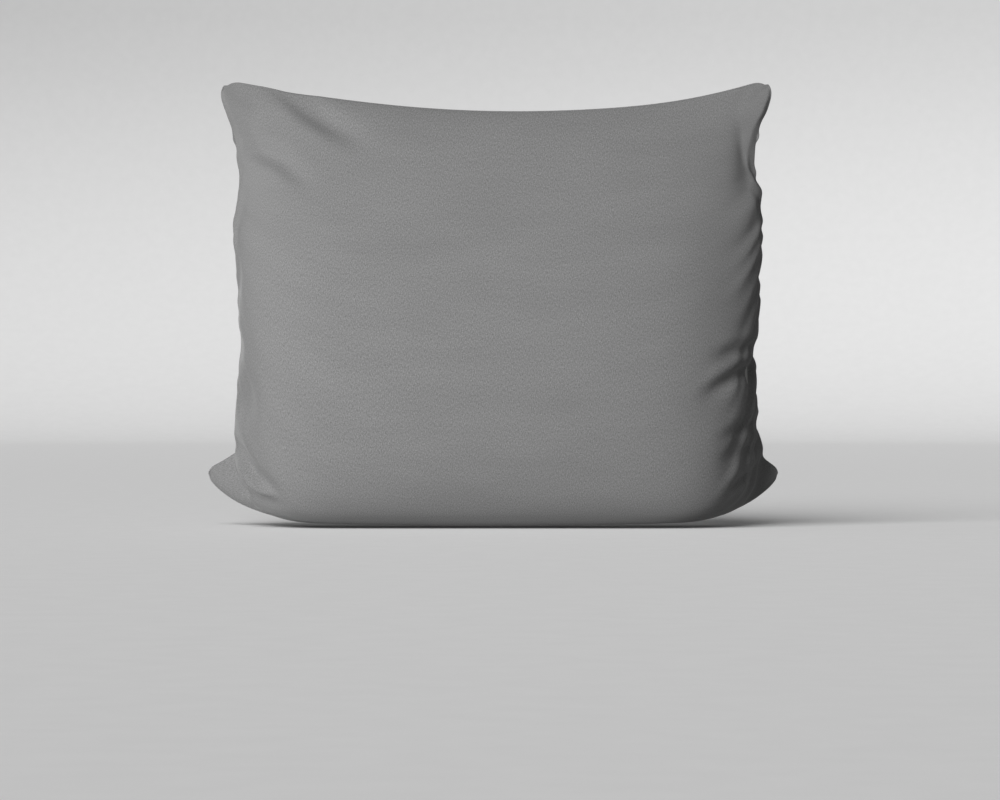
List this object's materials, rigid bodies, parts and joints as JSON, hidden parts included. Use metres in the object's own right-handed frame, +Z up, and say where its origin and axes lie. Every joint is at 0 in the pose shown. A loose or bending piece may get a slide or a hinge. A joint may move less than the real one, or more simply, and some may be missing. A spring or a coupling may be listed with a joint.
{
  "type": "bed pillow",
  "caption": "Small rectangular bed pillow standing on its long edge: a plain zipped fabric case round a fibre-filled inner pillow.",
  "frame": {"origin": "on the floor under the middle of the whole pillow, which stands on its long lower edge", "axes": "+X along the long edge, -Y is the front, +Z up"},
  "size_m": [0.494, 0.1464, 0.385],
  "materials": {
    "case_cloth": "matte",
    "ticking": "matte",
    "fibre": "matte",
    "zip_tape": "matte",
    "zip_plastic": "satin",
    "zip_metal": "satin",
    "case_thread": "matte",
    "white_thread": "matte",
    "label_ribbon": "satin"
  },
  "bodies": {
    "pillow": {"case_front_panel": "case_cloth", "case_back_panel": "case_cloth", "inner_front_panel": "ticking", "inner_back_panel": "ticking", "fibre_fill": "fibre", "zip_tape_front": "zip_tape", "zip_tape_back": "zip_tape", "zip_teeth_front": "zip_plastic", "zip_teeth_back": "zip_plastic", "zip_top_stops": "zip_plastic", "zip_bottom_stop": "zip_plastic", "zip_topstitch": "case_thread", "inner_closing_stitch": "white_thread", "inner_care_label": "label_ribbon"},
    "slider": {"zip_slider_body": "zip_metal"},
    "pull": {"zip_pull_tab": "zip_metal"}
  },
  "joints": [
    {"name": "zip_slide", "type": "slide", "parent": "pillow", "child": "slider", "axis": [1, 0, 0], "range_m": [-0.285, 0], "deforming": ["zip_teeth_front", "zip_teeth_back"]},
    {"name": "pull_swing", "type": "hinge", "parent": "slider", "child": "pull", "pos_m": [0.1472, 0.04785, 0.01528], "axis": [0, -0.7071, -0.7071], "range_deg": [-85, 85]}
  ]
}
